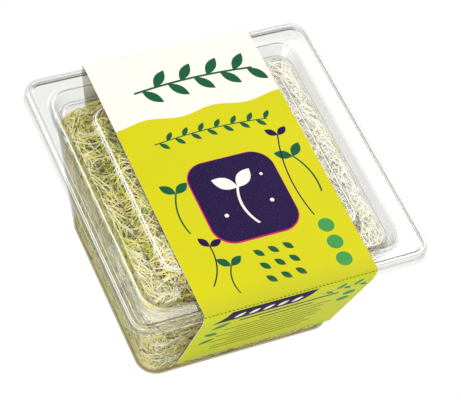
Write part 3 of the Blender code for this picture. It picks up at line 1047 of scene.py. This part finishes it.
def leaf_places(draw, sprouts, share, age=0.4):
    """A pair of seed leaves at the end of a share of the stems, kept in the room. The
    older they are, the darker their green."""
    places, tints = [], []
    for sprout in sprouts:
        end, before = sprout.points[-1], sprout.points[-2]
        if draw.random() > share * (1.0 - 0.5 * paleness(end)) * (1.0 + 2.0 * clump(end)):
            continue
        ahead = (end - before).normalized()
        lean = Vector([draw.gauss(0, 0.25) * min(2.0, sprout.depth) for _ in range(3)])
        outward = (sprout.outward + lean).normalized()
        side = ahead.cross(outward).normalized()
        tint = clamped(draw.gauss(age, 0.28))
        opening = draw.uniform(0.25, 0.8)
        for hand in (-1, 1):
            away = (ahead * math.cos(opening) + side * hand * math.sin(opening)).normalized()
            rise = away.dot(sprout.outward) - (sprout.depth - 1.0) / LEAF_LENGTH / 1.1
            away = (away - sprout.outward * max(0.0, rise)).normalized()
            size = draw.uniform(*LEAF_SIZES)
            if not in_room(end + away * LEAF_LENGTH * size, LEAF_WIDTH * 0.5):
                away = -away
            root = end - sprout.outward * LEAF_SINK
            middle = root + away * LEAF_LENGTH * size * 0.5
            width = LEAF_WIDTH * size * abs(outward.cross(away).dot(sprout.outward))
            tip_fits = in_room(end + away * LEAF_LENGTH * size, LEAF_WIDTH * 0.5)
            if not (tip_fits and in_room(middle, LEAF_SINK + width * 0.5)):
                continue
            places.append(facing(root, away, outward) @ Matrix.Scale(size, 4))
            tints.append(tint)
    return places, tints


def seed_places(draw, region, count, deepest):
    """Seed coats that lie below the outside of a region, kept in the room."""
    places, tints = [], []
    for _ in range(count):
        x = draw.uniform(region.low.x, region.high.x)
        y = draw.uniform(region.low.y, region.high.y)
        spot = region.spot(x, y, 1.3 + deepest * draw.random() + slump(region.spot(x, y, 0.0)))
        if not in_room(spot, 0.5 * SEED_LENGTH):
            continue
        turn = Euler([draw.uniform(0, math.pi) for _ in range(3)]).to_matrix().to_4x4()
        centred = Matrix.Translation(Vector((-0.5 * SEED_LENGTH * MM, 0.0, 0.0)))
        places.append(Matrix.Translation(spot * MM) @ turn @ centred)
        tints.append(draw.random())
    return places, tints


def core_sway(point):
    """The core's uneven surface, and its share of the tangle's sag."""
    spot = point / MM
    middle = Vector((0.0, 0.0, 36.0))
    away = (spot - middle).normalized()
    uneven = noise.noise(point * 150.0) + 0.6 * noise.noise(point * 320.0)
    return away * (2.4 * uneven - 0.6 * slump(spot)) * MM


def make_core(material):
    """The matted middle of the tangle, seen between the stems; its dark colour is a painted shade."""
    low = ROOM_FLOOR + CORE_DEPTH
    high = room_top(RIM_HALF, 0) - CORE_DEPTH
    peak = room_top(0, 0) - CORE_DEPTH
    levels = [(8.0, 3.0, low), (20.0, 5.0, low), (30.0, 5.0, low)]
    levels.append((room_half(low) - CORE_DEPTH - 3.0, 5.0, low))
    for row in range(CORE_ROWS):
        height = low + 2.5 + (high - low - 5.0) * row / (CORE_ROWS - 1)
        levels.append((room_half(height) - CORE_DEPTH, CORNER - 2.0, height))
    levels += [
        (room_half(high) - CORE_DEPTH - 2.5, 6.5, high),
        (PLATEAU_HALF - 1.5, 6.0, high),
    ]
    levels += [(half, 5.0, peak) for half in (PLATEAU_HALF - 5.5, 32.0, 26.0, 20.0, 13.0)]
    levels.append((6.0, 3.0, peak))
    levels = [Level(*level, 0.0, 0.0) for level in levels]
    shape = square_shell(levels, True, True, core_sway)
    new_piece("matted_core", shape, [material], "sprout_tangle", "sprouts")


def core_finish():
    """Painted shade between the stems: a dark olive for the shaded depths of the tangle, lighter at its
    front as a painted light, and paler at the right-hand end where the stems over it are whiter.
    """
    material, graph = new_material("tangle_core_shade")
    place = graph.here()
    share, relief = graph.fibre(place, 5.0, 0.8)
    shade = graph.blend(share, colour(0.3, 0.25, 0.045), colour(0.62, 0.54, 0.12))
    x, y, z = graph.axes(place)
    # The right-hand end is paler, partly whiter stems and partly a painted light.
    pale = graph.math("MULTIPLY", graph.spread(x, 0.033, 0.04), graph.spread(z, 0.054, 0.062))
    # Painted light: the core is lighter at the tangle's front.
    front = graph.math("MULTIPLY", graph.spread(y, -0.026, -0.038), graph.spread(z, 0.006, 0.02))
    shade = graph.blend(front, shade, colour(0.8, 0.72, 0.28))
    shade = graph.blend(pale, shade, colour(0.7, 0.67, 0.52))
    finish_solid(graph, shade, 0.8, graph.bump(relief, 0.4, 0.5))
    return material


def wall_side(spot):
    """Which wall a point lies nearest to: 0 right, 1 back, 2 left, 3 front."""
    return round(math.degrees(math.atan2(spot.y, spot.x)) / 90.0) % 4


def make_sprouts():
    """The tangle: stems, seed leaves and seed coats round a matted core."""
    draw = random.Random(5)
    stems = [
        plain_matte("stem_cream", (0.98, 0.91, 0.52), (0.9, 0.78, 0.3), 6.0, 0.35),
        plain_matte("stem_yellow", (0.94, 0.87, 0.18), (0.78, 0.7, 0.08), 6.0, 0.35),
        plain_matte("stem_green", (0.64, 0.68, 0.09), (0.42, 0.5, 0.035), 6.0, 0.4),
        plain_matte("stem_white", (0.98, 0.96, 0.86), (0.92, 0.89, 0.74), 6.0, 0.35),
        # The olive stems are a painted shade: the dark of stems lying in shade.
        plain_matte("stem_shaded_olive", (0.34, 0.32, 0.04), (0.19, 0.18, 0.02), 6.0, 0.5),
        plain_matte("stem_brown", (0.48, 0.29, 0.08), (0.28, 0.16, 0.04), 6.0, 0.5),
    ]
    leaf = tinted_matte("seed_leaf", (0.62, 0.66, 0.08), (0.14, 0.25, 0.025), 0.35)
    coat = tinted_matte("seed_coat", (0.42, 0.2, 0.07), (0.16, 0.07, 0.03), 0.5)
    leaf_shape = small_oval("leaf_shape", LEAF_LENGTH, LEAF_WIDTH, 0.55, 0.35)
    seed_shape = small_oval("seed_shape", SEED_LENGTH, 1.35, 1.1, 0.15)
    make_core(core_finish())

    around = 4.0 * SIDE_LENGTH * ROUNDS
    top = room_half(CEILING) - 1.2
    floor = BASE_HALF - 3.5
    walls = Region(wall_spot, Vector((0.0, ROOM_FLOOR + 0.6)), Vector((around, CEILING)))
    lid_side = Region(top_spot, Vector((-top, -top)), Vector((top, top)))
    base_edge = Region(wall_spot, Vector((0.0, ROOM_FLOOR + 0.45)), Vector((around, EDGE_TOP)))
    base_side = Region(floor_spot, Vector((-floor, -floor)), Vector((floor, floor)))

    def grow(region, count):
        return [grow_sprout(draw, region) for _ in range(count)]

    on_walls = grow(walls, WALL_SPROUTS)
    groups = {"top": grow(lid_side, TOP_SPROUTS), "floor": grow(base_side, FLOOR_SPROUTS)}
    on_walls += grow(base_edge, EDGE_SPROUTS)
    for number, side in enumerate(("right", "back", "left", "front")):
        groups[side] = [sprout for sprout in on_walls if wall_side(sprout.points[0]) == number]
    for name, sprouts in groups.items():
        stem_piece("stems_" + name, sprouts, stems)
        copies("leaves_" + name, leaf_shape, *leaf_places(draw, sprouts, LEAFY_SHARE), leaf)
    by_card = Region(top_spot, Vector((SLEEVE_RIGHT + 0.8, -42.0)), Vector((SLEEVE_RIGHT + 3.0, 42.0)))
    specks = grow(by_card, CARD_SPROUTS)
    copies("leaves_by_card", leaf_shape, *leaf_places(draw, specks, 1.6, 0.95), leaf)
    coats = (
        ("walls", walls, 260, 2.5),
        ("top", lid_side, 110, 2.5),
        ("floor", base_side, 40, 2.5),
        ("by_card", by_card, 34, 0.2),
    )
    for name, region, count, deepest in coats:
        copies("seeds_" + name, seed_shape, *seed_places(draw, region, count, deepest), coat)


def make_floor():
    """A plain white sweep that the punnet stands on."""
    shape = bmesh.new()
    bmesh.ops.create_grid(shape, x_segments=1, y_segments=1, size=3.0)
    mesh = finished_mesh("floor", shape)
    floor = bpy.data.objects.new("floor", mesh)
    floor.location.z = -0.0003
    bpy.context.scene.collection.objects.link(floor)
    material, graph = new_material("white_sweep")
    tone = graph.spread(graph.grain(graph.here(), 400.0, 1.0), 0.3, 0.7, 0.68, 0.7)
    paper = graph.node("ShaderNodeCombineColor", {0: tone, 1: tone, 2: tone}).outputs[0]
    matte = graph.node("ShaderNodeBsdfDiffuse", {"Color": paper}).outputs[0]
    white = graph.node("ShaderNodeEmission", {"Color": WHITE, "Strength": 1.02}).outputs[0]
    finish_material(graph, graph.for_camera(matte, white))
    mesh.materials.append(material)


def add_lamp(name, place, aim, size, power):
    data = bpy.data.lights.new(name, "AREA")
    data.shape = "RECTANGLE"
    data.size, data.size_y = size
    data.energy = power
    lamp = bpy.data.objects.new(name, data)
    lamp.location = place
    lamp.rotation_euler = (Vector(aim) - Vector(place)).to_track_quat("-Z", "Y").to_euler()
    bpy.context.scene.collection.objects.link(lamp)


def make_studio():
    """Soft light from a wide overhead box, a small one and a fill, in a white room."""
    world = bpy.data.worlds.new("white_room")
    world.use_nodes = True
    world.node_tree.nodes.clear()
    graph = Graph(world.node_tree)
    ahead = graph.node("ShaderNodeTexCoord").outputs["Generated"]
    up = graph.spread(graph.axes(ahead)[2], -0.1, 0.7)
    sky = graph.blend(up, colour(0.5, 0.5, 0.5), colour(0.95, 0.95, 0.95))
    glow = graph.node("ShaderNodeBackground", {"Color": sky, "Strength": 0.94}).outputs[0]
    white = graph.node("ShaderNodeBackground", {"Color": WHITE, "Strength": 1.0}).outputs[0]
    graph.node("ShaderNodeOutputWorld", {"Surface": graph.for_camera(glow, white)})
    bpy.context.scene.world = world
    add_lamp("top_box", (0.86, 0.43, 0.9), (0.86, 0.431, 0.0), (1.0, 0.5), 8.3)
    add_lamp("front_glint", (0.3, 0.38, 0.9), (0.3, 0.381, 0.0), (0.12, 0.24), 0.3)
    add_lamp("left_fill", (-0.62, -0.55, 0.45), (0.0, 0.0, 0.04), (0.6, 0.5), 5.4)
    bpy.context.scene.view_settings.view_transform = "Standard"
    bpy.context.scene.cycles.transparent_max_bounces = 32


def make_camera():
    """The photo's camera: above the front left, turned a little about its own axis."""
    azimuth, elevation, roll = (math.radians(angle) for angle in CAMERA_ANGLES)
    back = Vector((
        math.sin(azimuth) * math.cos(elevation),
        -math.cos(azimuth) * math.cos(elevation),
        math.sin(elevation),
    ))
    level = Vector((math.cos(azimuth), math.sin(azimuth), 0.0))
    upward = back.cross(level)
    right = level * math.cos(roll) + upward * math.sin(roll)
    up = upward * math.cos(roll) - level * math.sin(roll)
    data = bpy.data.cameras.new("photo_view")
    data.lens = CAMERA_LENS
    data.sensor_width = CAMERA_SENSOR
    camera = bpy.data.objects.new("photo_view", data)
    place = Vector(CAMERA_AIM) + back * CAMERA_DISTANCE
    camera.matrix_world = Matrix.Translation(place) @ Matrix((right, up, back)).transposed().to_4x4()
    bpy.context.scene.collection.objects.link(camera)
    bpy.context.scene.camera = camera


make_camera()
make_studio()
make_floor()
make_tub()
make_lid()
make_sleeve()
make_sprouts()

bpy.context.view_layer.update()
